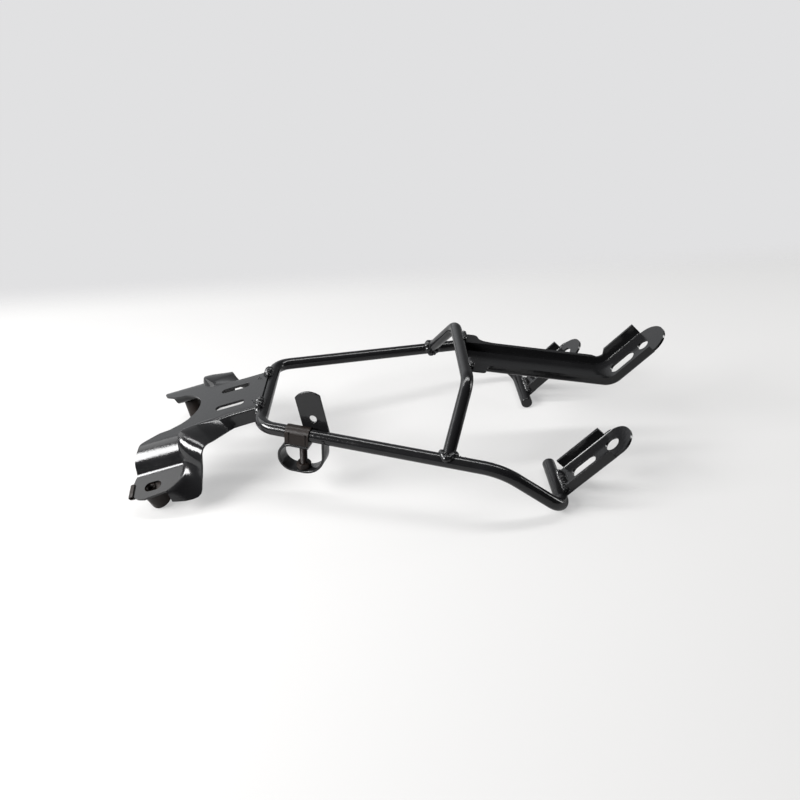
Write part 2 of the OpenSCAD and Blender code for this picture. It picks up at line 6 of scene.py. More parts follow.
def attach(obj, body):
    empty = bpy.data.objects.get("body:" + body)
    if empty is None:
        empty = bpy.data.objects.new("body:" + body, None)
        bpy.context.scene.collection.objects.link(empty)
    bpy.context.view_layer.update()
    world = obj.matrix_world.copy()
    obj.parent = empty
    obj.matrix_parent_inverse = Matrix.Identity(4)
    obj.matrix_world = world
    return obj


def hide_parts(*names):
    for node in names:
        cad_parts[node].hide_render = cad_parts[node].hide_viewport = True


# Scooter rear rack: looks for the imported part. Sizes are in millimetres, x to the rear, y right, z up,
# with x = 0 on the axis of the hoop's front run. toScene() moves them to the middle of the part.
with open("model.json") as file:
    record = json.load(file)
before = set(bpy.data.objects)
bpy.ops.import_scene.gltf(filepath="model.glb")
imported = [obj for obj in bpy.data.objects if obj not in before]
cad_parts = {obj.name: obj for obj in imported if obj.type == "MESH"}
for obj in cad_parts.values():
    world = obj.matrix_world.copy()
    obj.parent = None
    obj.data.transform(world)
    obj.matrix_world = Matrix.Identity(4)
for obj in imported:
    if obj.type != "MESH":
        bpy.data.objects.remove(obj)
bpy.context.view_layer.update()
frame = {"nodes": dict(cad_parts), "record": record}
scene = bpy.context.scene
mm = 0.001
shiftX = -108.344    # the part is centred over its length

print("camera and light")
# where the photo was taken from: place, axes and focal length on a 36 mm wide sensor
camera = {
    "eye": (110.42, -505.66, 339.72),
    "right": (0.998364, -0.025894, -0.050983),
    "up": (0.057081, 0.504315, 0.861631),
    "back": (0.003401, -0.863131, 0.504968),
    "lens": 31.5,
}


def toScene(p):
    return Vector((p[0] + shiftX, p[1], p[2])) * mm


def sceneColour(hexText):
    # sRGB hex to the linear values that sockets take
    parts = [int(hexText[i:i + 2], 16) / 255 for i in (1, 3, 5)]
    return [c / 12.92 if c <= 0.04045 else ((c + 0.055) / 1.055) ** 2.4 for c in parts] + [1]


camData = bpy.data.cameras.new("photoCamera")
camData.lens = camera["lens"]
camData.sensor_width = 36
camData.clip_start, camData.clip_end = 0.02, 20
camObj = bpy.data.objects.new("photoCamera", camData)
scene.collection.objects.link(camObj)
aim = Matrix((camera["right"], camera["up"], camera["back"])).transposed().to_4x4()
camObj.matrix_world = Matrix.Translation(toScene(camera["eye"])) @ aim
scene.camera = camObj
scene.view_settings.view_transform = "Standard"


def addNode(tree, kind, settings=None, **links):
    # a node with its settings, and what its inputs are set to or linked from; i3 stands for input 3
    node = tree.nodes.new(kind)
    for name, value in (settings or {}).items():
        setattr(node, name, value)
    for name, value in links.items():
        numbered = name[0] == "i" and name[1:].isdigit()
        socket = node.inputs[int(name[1:]) if numbered else name.replace("_", " ")]
        if isinstance(value, bpy.types.NodeSocket):
            tree.links.new(value, socket)
        else:
            socket.default_value = value
    return node


def mapped(tree, value, start, stop, low, high, curve="LINEAR"):
    # carries a value from one span to another and holds it at the ends
    node = addNode(tree, "ShaderNodeMapRange", {"interpolation_type": curve}, i0=value, i1=start, i2=stop,
                   i3=low, i4=high)
    return node.outputs[0]


def calculated(tree, operation, *values):
    inputs = {f"i{n}": value for n, value in enumerate(values)}
    return addNode(tree, "ShaderNodeMath", {"operation": operation}, **inputs).outputs[0]


def blended(tree, share, first, second):
    # one colour passing into another
    node = addNode(tree, "ShaderNodeMix", {"data_type": "RGBA"}, i0=share, i6=sceneColour(first),
                   i7=sceneColour(second))
    return node.outputs["Result"]


def newMaterial(name):
    mat = bpy.data.materials.new(name)
    mat.use_nodes = True
    mat.node_tree.nodes.clear()
    return mat, mat.node_tree


# softboxes: each has its middle, the point it faces and its size, in millimetres, and its power in watts
lights = {
    "leftSoftbox": ((-815, -350, 610), (-150, 0, 30), (700, 330), 22.0),
    "backLeftSoftbox": ((-740, 330, 670), (-150, 0, 30), (520, 480), 1.7),
    "overheadStrip": ((60, 150, 800), (60, 30, 0), (1200, 110), 5.5),
    "rightStrip": ((880, 130, 190), (120, 0, 40), (160, 340), 1.5),
}
for name, (place, target, size, power) in lights.items():
    data = bpy.data.lights.new(name, "AREA")
    data.shape = "RECTANGLE"
    data.size, data.size_y = size[0] * mm, size[1] * mm
    data.energy = power
    lamp = bpy.data.objects.new(name, data)
    lamp.location = Vector(place) * mm
    lamp.rotation_euler = (Vector(place) - Vector(target)).to_track_quat("Z", "Y").to_euler()
    scene.collection.objects.link(lamp)

# the room: dark at the camera's side and to the right, pale wall beyond the table. Each entry runs over
# a span of the view direction and goes from one strength to another
room = {"ceiling": (0.3, 0.8, 0.95, 0.4), "beyond": (-0.3, 0.4, 0.08, 1.0), "leftward": (-0.4, 0.3, 1.0, 0.2)}
world = bpy.data.worlds.new("studio")
scene.world = world
world.use_nodes = True
tree = world.node_tree
tree.nodes.clear()
direct = addNode(tree, "ShaderNodeLightPath").outputs["Is Camera Ray"]
way = addNode(tree, "ShaderNodeTexCoord").outputs["Generated"]
axes = addNode(tree, "ShaderNodeSeparateXYZ", Vector=way)
ceiling = mapped(tree, axes.outputs["Z"], *room["ceiling"], "SMOOTHSTEP")
beyond = mapped(tree, axes.outputs["Y"], *room["beyond"], "SMOOTHSTEP")
leftward = mapped(tree, axes.outputs["X"], *room["leftward"], "SMOOTHSTEP")
glare = calculated(tree, "MULTIPLY", ceiling, calculated(tree, "MULTIPLY", beyond, leftward))
fill = addNode(tree, "ShaderNodeBackground", Color=sceneColour("#EDEFF1"), Strength=glare)
wall = addNode(tree, "ShaderNodeBackground", Color=sceneColour("#E1E1E2"), Strength=1.0)
choose = addNode(tree, "ShaderNodeMixShader", i0=direct, i1=fill.outputs[0], i2=wall.outputs[0])
addNode(tree, "ShaderNodeOutputWorld", Surface=choose.outputs[0])

# White table top: matt, it fades into the wall behind and keeps the soft shadows
table = {"fade": (0.33, 0.47), "glow": 0.45}    # in metres, and the share that glows for the camera
paper, tree = newMaterial("whiteTableMatt")
direct = addNode(tree, "ShaderNodeLightPath").outputs["Is Camera Ray"]
backside = addNode(tree, "ShaderNodeNewGeometry").outputs["Backfacing"]
where = addNode(tree, "ShaderNodeTexCoord").outputs["Object"]
axes = addNode(tree, "ShaderNodeSeparateXYZ", Vector=where)
edge = mapped(tree, axes.outputs["Y"], *table["fade"], 0.0, 1.0, "SMOOTHSTEP")
matt = addNode(tree, "ShaderNodeBsdfDiffuse", Color=blended(tree, direct, "#A6A6A6", "#BCBBBA"))
glow = addNode(tree, "ShaderNodeEmission", Color=sceneColour("#FBFBFB"), Strength=1.0)
share = calculated(tree, "MULTIPLY", direct, table["glow"])
top = addNode(tree, "ShaderNodeMixShader", i0=share, i1=matt.outputs[0], i2=glow.outputs[0])
clear = addNode(tree, "ShaderNodeBsdfTransparent")
ghost = calculated(tree, "MULTIPLY", calculated(tree, "MAXIMUM", backside, edge), direct)
seen = addNode(tree, "ShaderNodeMixShader", i0=ghost, i1=top.outputs[0], i2=clear.outputs[0])
addNode(tree, "ShaderNodeOutputMaterial", Surface=seen.outputs[0])
mesh = bpy.data.meshes.new("floor")
bm = bmesh.new()
bmesh.ops.create_grid(bm, x_segments=1, y_segments=1, size=4)
bm.to_mesh(mesh)
bm.free()
floor = bpy.data.objects.new("floor", mesh)
scene.collection.objects.link(floor)
mesh.materials.append(paper)

print("materials")
# cells per metre, so ripples 2.3 mm long, grit of 0.5 mm, tone that drifts over 29 mm and specks 2.4 mm apart
coat = {"ripples": 430.0, "grit": 1900.0, "drift": 34.0, "specks": 420.0}
relief = {"ripples": 0.00012, "grit": 0.00003}    # heights in metres
# what specks and drift add to the roughness
dusting = {"span": (0.05, 0.13), "rougher": 0.12, "drift": 0.09}


def coatMaterial(name, base, worn, roughness, peel, grit, shine):
    # Coat over steel: gloss with orange peel, fine grit, and tone that drifts over centimetres
    mat, tree = newMaterial(name)
    place = addNode(tree, "ShaderNodeTexCoord").outputs["Object"]
    wave = addNode(tree, "ShaderNodeTexNoise", Vector=place, Scale=coat["ripples"], Detail=1.5)
    grain = addNode(tree, "ShaderNodeTexNoise", Vector=place, Scale=coat["grit"], Detail=2.0)
    drift = addNode(tree, "ShaderNodeTexNoise", Vector=place, Scale=coat["drift"], Detail=6.0, Roughness=0.6)
    specks = addNode(tree, "ShaderNodeTexVoronoi", Vector=place, Scale=coat["specks"])
    dust = mapped(tree, specks.outputs["Distance"], *dusting["span"], 1.0, 0.0)
    rough = mapped(tree, drift.outputs[0], 0.35, 0.7, roughness, roughness + dusting["drift"])
    soft = addNode(tree, "ShaderNodeBump", Strength=peel, Distance=relief["ripples"], Height=wave.outputs[0])
    fine = addNode(tree, "ShaderNodeBump", Strength=grit, Distance=relief["grit"], Height=grain.outputs[0],
                   Normal=soft.outputs[0])
    shader = addNode(tree, "ShaderNodeBsdfPrincipled", Base_Color=blended(tree, drift.outputs[0], base, worn),
                     Roughness=calculated(tree, "MULTIPLY_ADD", dust, dusting["rougher"], rough),
                     Specular_IOR_Level=shine, Normal=fine.outputs[0])
    addNode(tree, "ShaderNodeOutputMaterial", Surface=shader.outputs[0])
    return mat


# Gloss black powder coat on steel rod and sheet: deep black that turns lights into crisp, wavy streaks
powderCoat = coatMaterial("glossBlackPowderCoat", "#101011", "#1B1B1C", roughness=0.13, peel=0.6,
                          grit=0.6, shine=0.44)
# The same coat over weld metal: ripples and spatter break the lights into small glints
weldCoat = coatMaterial("powderCoatOverWeld", "#121213", "#1F1F20", roughness=0.17, peel=1.0,
                        grit=0.8, shine=0.46)
# Black passivated zinc on nuts, bolt, clips and saddle: duller and brownish, with a faint metal sheen
blackZinc = coatMaterial("blackPassivatedZinc", "#120E0C", "#201814", roughness=0.38, peel=0.6,
                         grit=1.0, shine=0.26)
slotOf = {p["node"]: p["material_slot"] for p in frame["record"]["subparts"]}
for nodeName, obj in frame["nodes"].items():
    mat = {"black_paint": powderCoat, "dark_zinc": blackZinc, "weld_metal": weldCoat}[slotOf[nodeName]]
    obj.data.materials.clear()
    obj.data.materials.append(mat)


def hardEdges(bm, degrees):
    # smooth shading, broken where two faces meet more sharply than this
    limit = math.radians(degrees)
    for face in bm.faces:
        face.smooth = True
    for edge in bm.edges:
        edge.smooth = len(edge.link_faces) == 2 and edge.calc_face_angle(0) < limit


def finishPiece(name, bm, material, nodes, degrees=32, edgeRound=0.0):
    # closes up the mesh, puts it in the part's frame and lets it stand for its CAD nodes
    bmesh.ops.remove_doubles(bm, verts=bm.verts, dist=0.002)
    bmesh.ops.recalc_face_normals(bm, faces=bm.faces)
    bmesh.ops.translate(bm, verts=bm.verts, vec=(shiftX, 0, 0))
    bmesh.ops.scale(bm, verts=bm.verts, vec=(mm, mm, mm))
    hardEdges(bm, degrees)
    mesh = bpy.data.meshes.new(name)
    bm.to_mesh(mesh)
    bm.free()
    piece = bpy.data.objects.new(name, mesh)
    scene.collection.objects.link(piece)
    mesh.materials.append(material)
    if edgeRound:
        bevel = piece.modifiers.new("roundedEdges", "BEVEL")
        bevel.width = edgeRound * mm
        bevel.segments = 2
        bevel.limit_method = "ANGLE"
        bevel.angle_limit = math.radians(38)
        bevel.harden_normals = True
    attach(piece, "root")
    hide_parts(*nodes)
    return piece


def combine(bm, added=(), cut=()):
    # joins closed meshes to the first and takes others away, with the exact boolean solver
    made = []
    for source in [bm, *added, *cut]:
        mesh = bpy.data.meshes.new("cut")
        bmesh.ops.recalc_face_normals(source, faces=source.faces)
        source.to_mesh(mesh)
        source.free()
        obj = bpy.data.objects.new("cut", mesh)
        scene.collection.objects.link(obj)
        made.append(obj)
    for i, tool in enumerate(made[1:]):
        mod = made[0].modifiers.new("cut", "BOOLEAN")
        mod.operation = "UNION" if i < len(added) else "DIFFERENCE"
        mod.solver, mod.object = "EXACT", tool
    done = bmesh.new()
    done.from_object(made[0], bpy.context.evaluated_depsgraph_get())
    for obj in made:
        mesh = obj.data
        bpy.data.objects.remove(obj)
        bpy.data.meshes.remove(mesh)
    return done


def vertsOf(geometry):
    return [g for g in geometry if isinstance(g, bmesh.types.BMVert)]


def edgesOf(geometry):
    return [g for g in geometry if isinstance(g, bmesh.types.BMEdge)]


def shift(x, y, z):
    return Matrix.Translation((x, y, z))


def rotation(degrees, axis):
    return Matrix.Rotation(math.radians(degrees), 4, axis)


def frameAt(origin, yTurn, xTurn=0.0):
    # a frame turned first about x, then about y, as the part's source turns its own
    return Matrix.Translation(origin) @ rotation(yTurn, "Y") @ rotation(xTurn, "X")


def alignZ(direction):
    return direction.to_track_quat("Z", "Y").to_matrix().to_4x4()


def raised(bm, place, depth):
    # thickens a flat mesh along z and puts it in place
    top = bmesh.ops.extrude_face_region(bm, geom=bm.faces[:])
    bmesh.ops.translate(bm, verts=vertsOf(top["geom"]), vec=(0, 0, depth))
    bmesh.ops.transform(bm, matrix=place, verts=bm.verts)
    return bm


def extruded(outline, place, depth):
    # a flat outline in x and y, raised along z
    bm = bmesh.new()
    bm.faces.new([bm.verts.new((x, y, 0)) for x, y in outline])
    return raised(bm, place, depth)


def closeRings(bm, *rings):
    for ring in rings:
        bmesh.ops.contextual_create(bm, geom=ring)


def roundOff(bm, geometry, radius, segments, kind="VERTICES"):
    bmesh.ops.bevel(bm, geom=geometry, offset=radius, offset_type="OFFSET", segments=segments, profile=0.5,
                    affect=kind, material=-1)


def slotCutter(place, length, width, depth=12.0):
    # a long hole with round ends, along the frame's x
    bm = bmesh.new()
    bmesh.ops.create_circle(bm, cap_ends=True, radius=width / 2, segments=40, matrix=rotation(4.5, "Z"))
    for v in bm.verts:
        v.co.x += (length - width) / 2 * (1 if v.co.x > 0 else -1)
    return raised(bm, place @ shift(0, 0, -depth / 2), depth)


def extrudeTo(bm, edges, vector):
    made = bmesh.ops.extrude_edge_only(bm, edges=edges)["geom"]
    bmesh.ops.translate(bm, verts=vertsOf(made), vec=vector)
    return edgesOf(made)


def sweepEdges(bm, edges, points, radii, steps=14):
    # carries a loop of edges along a path, straight to each bend and round it
    here = Vector(points[0])
    for i in range(1, len(points) - 1):
        corner = Vector(points[i])
        into = (corner - Vector(points[i - 1])).normalized()
        out = (Vector(points[i + 1]) - corner).normalized()
        turn = into.angle(out)
        radius = radii[i - 1]
        start = corner - into * radius * math.tan(turn / 2)
        middle = corner + (out - into).normalized() * radius / math.cos(turn / 2)
        edges = extrudeTo(bm, edges, start - here)
        spun = bmesh.ops.spin(bm, geom=edges, cent=middle, axis=into.cross(out), dvec=(0, 0, 0), angle=turn,
                              space=Matrix.Identity(4), steps=max(4, round(steps * turn)), use_merge=False)
        edges = edgesOf(spun["geom_last"])
        here = corner + out * radius * math.tan(turn / 2)
    return extrudeTo(bm, edges, Vector(points[-1]) - here)


def bentRod(points, radii, diameter, sides=40, endRound=0.7):
    # a round bar along a path, with slightly rounded cut ends
    bm = bmesh.new()
    along = (Vector(points[1]) - Vector(points[0])).normalized()
    bmesh.ops.create_circle(bm, cap_ends=False, radius=diameter / 2, segments=sides,
                            matrix=Matrix.Translation(points[0]) @ alignZ(along))
    first = bm.edges[:]
    last = sweepEdges(bm, first, points, radii)
    closeRings(bm, first, last)
    if endRound:
        roundOff(bm, [e for ring in (first, last) for e in ring if e.is_valid], endRound, 3, "EDGES")
    return bm


print("hoop rod and cross arch")
hoop = {
    "rod": 10.0, "frontW": 101.0, "rearW": 208.0, "hookW": 213.0, "hookL": 59.0, "sideL": 178.0,
    "dropL": 47.0, "frontZ": 57.5, "rearZ": 41.5, "bends": (13, 45, 16),
}
arch = {"rod": 9.6, "footX": 140.0, "topX": 160.0, "topZ": 86.0, "topW": 99.0, "bend": 20.0}


def mirrored(points):
    return [(x, -y, z) for x, y, z in points]


hoopHalf = [
    (hoop["sideL"] + hoop["dropL"], hoop["hookW"] / 2 - hoop["hookL"], hoop["rod"] / 2),
    (hoop["sideL"] + hoop["dropL"], hoop["hookW"] / 2, hoop["rod"] / 2),
    (hoop["sideL"], hoop["rearW"] / 2, hoop["rearZ"]),
    (0, hoop["frontW"] / 2, hoop["frontZ"]),
]
bm = bentRod(mirrored(hoopHalf) + hoopHalf[::-1], hoop["bends"] + hoop["bends"][::-1], hoop["rod"])
finishPiece("hoopRod", bm, powderCoat, ["hoop_rod"])


def sideRodAt(x):
    share = x / hoop["sideL"]
    return (x, hoop["frontW"] / 2 + (hoop["rearW"] - hoop["frontW"]) / 2 * share,
            hoop["frontZ"] + (hoop["rearZ"] - hoop["frontZ"]) * share)


archHalf = [sideRodAt(arch["footX"]), (arch["topX"], arch["topW"] / 2, arch["topZ"])]
bm = bentRod(mirrored(archHalf) + archHalf[::-1], (arch["bend"], arch["bend"]), arch["rod"], endRound=0)
finishPiece("crossArch", bm, powderCoat, ["cross_arch"])

print("tail brackets and centre channel")
tail = {
    "sheet": 2.0, "outerBend": 3.2, "slope": 44.0, "sideHoleD": 11.5, "midHoleD": 9.5, "slotW": 10.5,
    "sideW": 32.0, "sideH": 10.0, "sideGap": 152.0, "sideWebW": 4.0, "sideFrom": 10.0, "sideTo": 51.0,
    "sideTipL": 55.5, "sideTipR": 14.0, "sideSlotX": 26.0, "sideSlotL": 22.0, "sideHoleX": 53.0,
    "midW": 37.0, "midH": 8.6, "midFall": 11.0, "armL": 123.0, "midTo": 42.0, "midTipL": 42.0,
    "midTipR": 15.5, "midBend": 16.0, "lip": 2.6, "midSlotX": 17.0, "midSlotL": 23.0, "midHoleX": 38.0,
    "earReach": 14.0, "earL": 15.0, "tailH": 12.0, "ramp": 4.0, "overrun": 1,
}
cutterDeep = 60    # enough to pass through any channel


def channelSection(bm, width, height, place):
    # closed outline of a folded sheet: web and two sides, with round folds
    t = tail["sheet"]
    half = [(0, 0), (width / 2, 0), (width / 2, height), (width / 2 - t, height), (width / 2 - t, t), (0, t)]
    loop = half[1:-1] + [(-y, z) for y, z in half[-2:0:-1]]
    verts = [bm.verts.new((0, y, z)) for y, z in loop]
    for i in range(len(verts)):
        bm.edges.new((verts[i], verts[(i + 1) % len(verts)]))
    outer = [v for v in verts if abs(v.co.z) < 0.01]
    inner = [v for v in verts if abs(v.co.z - t) < 0.01 and abs(v.co.y) < width / 2 - 1]
    roundOff(bm, outer, tail["outerBend"], 6)
    roundOff(bm, inner, tail["outerBend"] - t, 6)
    bmesh.ops.transform(bm, matrix=place, verts=bm.verts)
    return bm.edges[:]


def tipCutter(place, reach, tipX, radius, width):
    # everything beyond the folded sides but the round tip
    far = 40.0
    steps = [math.radians(a) for a in range(90, -91, -6)]
    outline = [(reach, width), (reach, radius)]
    outline += [(tipX + radius * math.cos(a), radius * math.sin(a)) for a in steps]
    outline += [(reach, -radius), (reach, -width), (reach + far, -width), (reach + far, width)]
    clean = [p for i, p in enumerate(outline) if math.dist(p, outline[i - 1]) > 0.01]
    return extruded(clean, place @ shift(0, 0, -cutterDeep / 2), cutterDeep)


def rodCutter(start, end, diameter):
    bm = bmesh.new()
    along = Vector(end) - Vector(start)
    middle = Matrix.Translation((Vector(start) + Vector(end)) / 2)
    bmesh.ops.create_cone(bm, cap_ends=True, segments=48, radius1=diameter / 2, radius2=diameter / 2,
                          depth=along.length, matrix=middle @ alignZ(along))
    return bm


hookX = hoop["sideL"] + hoop["dropL"]


def bracketPlace(side):
    # frame of one side bracket: x runs up its web from the hook
    hook = (hookX, side * tail["sideGap"] / 2, hoop["rod"] / 2)
    return frameAt(hook, -tail["slope"]) @ shift(0, 0, -tail["sideWebW"])


for side, word in ((-1, "left"), (1, "right")):
    place = bracketPlace(side)
    bm = bmesh.new()
    edges = channelSection(bm, tail["sideW"], tail["sideH"], place @ shift(tail["sideFrom"], 0, 0))
    along = place.to_3x3() @ Vector((1, 0, 0))
    reach = tail["sideTipL"] + tail["sideTipR"] + tail["overrun"]
    end = extrudeTo(bm, edges, along * (reach - tail["sideFrom"]))
    closeRings(bm, edges, end)
    tongue = bmesh.new()    # the web runs on to the hook between the folded sides
    bmesh.ops.create_cube(tongue, size=1)
    tonguePlace = place @ shift(tail["sideFrom"] / 2 + 0.5, 0, tail["sheet"] / 2)
    tongueSize = Matrix.Diagonal((tail["sideFrom"] + 1, 2 * tail["sideTipR"], tail["sheet"], 1))
    bmesh.ops.transform(tongue, matrix=tonguePlace @ tongueSize, verts=tongue.verts)
    bm = combine(bm, [tongue], [
        tipCutter(place, tail["sideTo"], tail["sideTipL"], tail["sideTipR"], 30),
        slotCutter(place @ shift(tail["sideSlotX"], 0, 0), tail["sideSlotL"], tail["slotW"]),
        slotCutter(place @ shift(tail["sideHoleX"], 0, 0), tail["sideHoleD"], tail["sideHoleD"]),
        rodCutter((hookX, -150, hoop["rod"] / 2), (hookX, 150, hoop["rod"] / 2), hoop["rod"])])
    finishPiece(word + "TailBracket", bm, powderCoat, [word + "_tail_bracket"], edgeRound=0.35)

armPlace = frameAt((arch["topX"], 0, arch["topZ"] - tail["midH"] + 1), tail["midFall"])
turnUp = tail["midFall"] + tail["slope"]
tailPlace = armPlace @ shift(tail["armL"], 0, 0) @ rotation(-turnUp, "Y")
bend = tail["midBend"] * math.tan(math.radians(turnUp / 2))
straight = tail["armL"] - bend
bm = bmesh.new()
edges = channelSection(bm, tail["midW"], tail["midH"], armPlace)
path = [armPlace @ Vector((0, 0, 0)), armPlace @ Vector((tail["armL"], 0, 0)),
        tailPlace @ Vector((bend + tail["ramp"], 0, 0))]
end = sweepEdges(bm, edges, path, (tail["midBend"],), steps=18)
# past the bend the far side rises to its full height
tailTurn = tailPlace.to_3x3()
for vert in {v for e in end for v in e.verts}:
    local = tailPlace.inverted() @ vert.co
    if local.y > 0 and local.z > tail["midH"] - 0.01:
        vert.co += tailTurn @ Vector((0, 0, tail["tailH"] - tail["midH"]))
reach = tail["midTipL"] + tail["midTipR"] + tail["overrun"]
end = extrudeTo(bm, end, tailTurn @ Vector((reach - bend - tail["ramp"], 0, 0)))
closeRings(bm, edges, end)


def earAndLip(side):
    # the edge of one side folded outwards: an ear at the arch, then a narrow lip as far as the bend
    plate = bmesh.new()
    inner, lip = tail["midW"] / 2 - tail["sheet"], tail["midW"] / 2 + tail["lip"]
    reach = tail["midW"] / 2 + tail["earReach"]
    outline = [(0, inner), (0, reach), (tail["earL"], reach), (tail["earL"] + 1.2, lip + 3.0),
               (tail["earL"] + 9, lip), (straight - 2, lip), (straight + 4, inner + 1), (straight, inner)]
    plate.faces.new([plate.verts.new((x, y, 0)) for x, y in outline])
    plate.verts.ensure_lookup_table()
    picked = [(plate.verts[i], r) for i, r in ((1, 3), (2, 3), (3, 3), (4, 6))]
    for vert, radius in picked:
        roundOff(plate, [vert], radius, 5)
    mirror = Matrix.Diagonal((1, side, 1, 1))
    return raised(plate, armPlace @ mirror @ shift(0, 0, tail["midH"] - tail["sheet"]), tail["sheet"])


bm = combine(bm, [earAndLip(-1), earAndLip(1)], [
    tipCutter(tailPlace, tail["midTo"], tail["midTipL"], tail["midTipR"], 40),
    slotCutter(tailPlace @ shift(tail["midSlotX"], 0, 0), tail["midSlotL"], tail["slotW"]),
    slotCutter(tailPlace @ shift(tail["midHoleX"], 0, 0), tail["midHoleD"], tail["midHoleD"]),
    rodCutter((arch["topX"], -60, arch["topZ"]), (arch["topX"], 60, arch["topZ"]), arch["rod"])])
finishPiece("centreChannel", bm, powderCoat, ["centre_channel"], edgeRound=0.35)

print("neck plate")
plate = {
    "sheet": 2.0, "slope": 14.0, "rise": 6.4, "neckV": 30.5, "fold": 3.0,
    "throatX": 60.0, "throatR": 29.0, "wingV": 39.0, "wingBend": 16.0, "wallA": 70.0, "wallL": 5.0,
    "footBend": 4.0, "footA": 16.5, "footSlotV": 70.0, "footSlotX": 92.5, "footSlotL": 14.0, "footSlotW": 8.6,
    "neckSlotX": 30.5, "neckSlotL": 25.5, "neckSlotW": 7.4, "neckSlotGap": 28.0,
    "tipX": 103.2, "squareV": 66, "cornerV": 80, "foldSteps": 6,
    "crest": 5.6, "crestAt": 7.4, "crestSpan": 4.2, "crestLean": (-0.35, 0.15, 1),
}
# where the side and rear edges fold down, and the rim of the skirt below each place (x, v, w on the plate)
skirtFold = [(-2.5, 30.5), (-12, 30.5), (-25, 30.5), (-38, 30.5), (-50, 31), (-55.6, 33.2), (-60.7, 37.4),
             (-64, 42.6), (-65.7, 49.5), (-66, 58), (-66, 65.5), (-69, 72), (-74, 76.8), (-80, 78.8)]
skirtRim = [(-2.5, 30.5, -12.5), (-12, 30.5, -12.5), (-24, 31, -12.5), (-31, 36, -10.5), (-38, 47.5, -8),
            (-42, 55, -5), (-45, 60.5, -4.8), (-47.3, 64.5, -7.5), (-49, 67.3, -12.5), (-51.2, 69.5, -19),
            (-54.5, 72, -27.5), (-58.5, 76, -36.5), (-68, 79, -36.5), (-79, 80.5, -33)]
lastStop = len(skirtFold) - 1
neckEnd = 3    # the neck's straight edge ends at this point of the fold
throatEdge = [(27.5, -79.8), (29, -89), (34.5, -97.7), (36.5, -100.8), (39, -102.4), (42, -103), (45, -103.2)]
footReach = {-1: 7.5, 1: 0.5}    # how far each foot stands in front of the wing tips, left and right


def frontEdge(side):
    # front edge of one wing as pairs of v and x; each row has v, its share of the reach and its rounding
    rows = [(49.5, 0.25, 0), (54, 0.5, 0), (61, 0.8, 0), (68, 1, 0), (72, 1, 0.7), (76, 1, 3.1),
            (78.5, 1, 6.2), (80, 1, 12)]
    return throatEdge + [(v, -plate["tipX"] - footReach[side] * share + back) for v, share, back in rows]


platePlace = frameAt((0, 0, hoop["frontZ"] + plate["rise"]), -plate["slope"])


def outward(degrees):
    return Vector((math.sin(math.radians(degrees)), math.cos(math.radians(degrees))))


wallTop = Vector((plate["wingV"], -plate["wingBend"])) + plate["wingBend"] * outward(plate["wallA"])
wallEnd = wallTop + plate["wallL"] * outward(plate["wallA"] + 90)
footMid = wallEnd + plate["footBend"] * outward(plate["wallA"])
footStart = footMid - plate["footBend"] * outward(plate["footA"])


def wingHeight(v):
    # top face of the wing across the plate: round shoulder, steep wall, hollow, then the sloping foot
    if v < plate["wingV"]:
        return 0.0
    if v < wallTop.x:
        return -plate["wingBend"] + math.sqrt(plate["wingBend"] ** 2 - (v - plate["wingV"]) ** 2)
    if v < wallEnd.x:
        return wallTop.y - (v - wallTop.x) * math.tan(math.radians(plate["wallA"]))
    if v < footStart.x:
        return footMid.y - math.sqrt(max(0, plate["footBend"] ** 2 - (footMid.x - v) ** 2))
    return footStart.y - (v - footStart.x) * math.tan(math.radians(plate["footA"]))


def alongPoints(points, s):
    # smooth curve through the points; s counts them
    i = max(0, min(len(points) - 2, int(s)))
    t = s - i
    p = [Vector(points[max(0, min(len(points) - 1, i + k))]) for k in (-1, 0, 1, 2)]
    return 0.5 * ((2 * p[1]) + (p[2] - p[0]) * t + (2 * p[0] - 5 * p[1] + 4 * p[2] - p[3]) * t ** 2
                  + (3 * p[1] - p[0] - 3 * p[2] + p[3]) * t ** 3)


def linearAt(table, v):
    for (v0, x0), (v1, x1) in zip(table, table[1:]):
        if v <= v1:
            return x0 + (x1 - x0) * (v - v0) / (v1 - v0)
    return table[-1][1]


def foldStation(s):
    # start of the fold on the plate, the sharp fold point and the rim, at one place along the edge
    edge, rim = alongPoints(skirtFold, s), alongPoints(skirtRim, s)
    ahead, behind = (alongPoints(skirtFold, at) for at in (min(s + 0.05, lastStop), max(s - 0.05, 0)))
    step = (ahead - behind).normalized()
    inset = plate["fold"] * min(1, 0.3 + (lastStop - s) * 0.5)
    start = edge + inset * Vector((-step.y, step.x))
    return start, edge, rim


def stationAt(v):
    low, high = float(neckEnd), float(lastStop)
    for _ in range(40):
        middle = (low + high) / 2
        low, high = (middle, high) if foldStation(middle)[0].y < v else (low, middle)
    return low


lastV = foldStation(lastStop)[0].y
neckStops = [i / 2 for i in range(2 * neckEnd + 1)]
rowsV = [0, 6, 12, 18, 23, plate["neckV"] - plate["fold"]]
wingRows = [29, 30.5, 32, 33.5, 35, 37, plate["wingV"]]
wallA, footA = int(plate["wallA"]), int(plate["footA"])
wingRows += [plate["wingV"] + plate["wingBend"] * math.sin(math.radians(a)) for a in range(6, wallA, 6)]
wingRows += [wallTop.x, (wallTop.x + wallEnd.x) / 2, wallEnd.x]
wingRows += [footMid.x - plate["footBend"] * math.sin(math.radians(a)) for a in range(62, footA, -7)]
wingRows += [footStart.x + (lastV - footStart.x) * math.sin(math.radians(a)) for a in range(0, 91, 6)]
columns = 24


